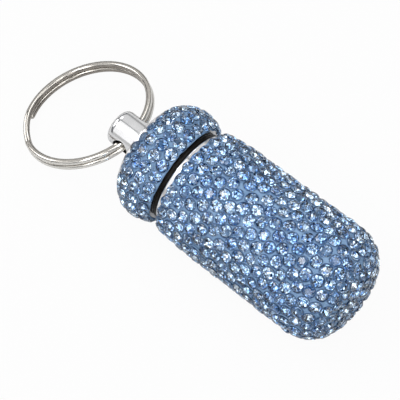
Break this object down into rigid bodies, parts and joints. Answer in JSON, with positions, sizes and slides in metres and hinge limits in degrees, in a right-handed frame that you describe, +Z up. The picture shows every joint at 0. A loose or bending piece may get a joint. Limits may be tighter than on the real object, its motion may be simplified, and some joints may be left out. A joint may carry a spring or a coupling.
{
  "type": "pill fob keychain",
  "caption": "Capsule-shaped screw-top pill holder on a key ring: metal vial and cap covered with faceted blue stones, a rubber seal in the seam and a split ring through the cap's stem.",
  "frame": {"origin": "on the floor under the middle of the whole length, ring to base", "axes": "+X along the capsule towards its base, +Z up, the ring's cross hole along Y"},
  "size_m": [0.0844, 0.0286, 0.026],
  "materials": {
    "polished_aluminium": "polished",
    "black_rubber": "smooth",
    "nickel_steel": "nickel plated",
    "blue_clay": "fine matt",
    "blue_crystal": "faceted, foil backed"
  },
  "bodies": {
    "vial": {"vial": "polished_aluminium", "body_clay": "blue_clay", "body_stones_01": "blue_crystal", "body_stones_02": "blue_crystal", "body_stones_03": "blue_crystal", "body_stones_04": "blue_crystal", "body_stones_05": "blue_crystal", "body_stones_06": "blue_crystal", "body_stones_07": "blue_crystal", "body_stones_08": "blue_crystal", "body_stones_09": "blue_crystal", "body_stones_10": "blue_crystal", "body_stones_11": "blue_crystal", "body_stones_12": "blue_crystal", "body_stones_13": "blue_crystal", "body_stones_14": "blue_crystal", "body_stones_15": "blue_crystal", "base_stones_1": "blue_crystal", "base_stones_2": "blue_crystal", "base_stones_3": "blue_crystal", "base_stones_4": "blue_crystal", "base_stones_5": "blue_crystal", "base_stones_6": "blue_crystal", "base_stones_7": "blue_crystal"},
    "seal": {"seal_ring": "black_rubber"},
    "cap": {"cap_shell": "polished_aluminium", "cap_clay": "blue_clay", "cap_stones_1": "blue_crystal", "cap_stones_2": "blue_crystal", "cap_stones_3": "blue_crystal", "cap_stones_4": "blue_crystal"},
    "ring": {"split_ring": "nickel_steel"}
  },
  "joints": [
    {"name": "cap_lift", "type": "slide", "parent": "vial", "child": "seal", "axis": [-1, 0, 0], "range_m": [0, 0.006]},
    {"name": "cap_turn", "type": "hinge", "parent": "seal", "child": "cap", "pos_m": [0, 0, 0.013], "axis": [-1, 0, 0], "range_deg": [0, 1440]},
    {"name": "ring_swing", "type": "hinge", "parent": "cap", "child": "ring", "pos_m": [-0.01673, 0, 0.013], "axis": [0, 1, 0], "range_deg": [-104, 155]}
  ],
  "couplings": [
    {"joint": "cap_lift", "follows": "cap_turn", "m_per_rad": 0.00023873}
  ]
}
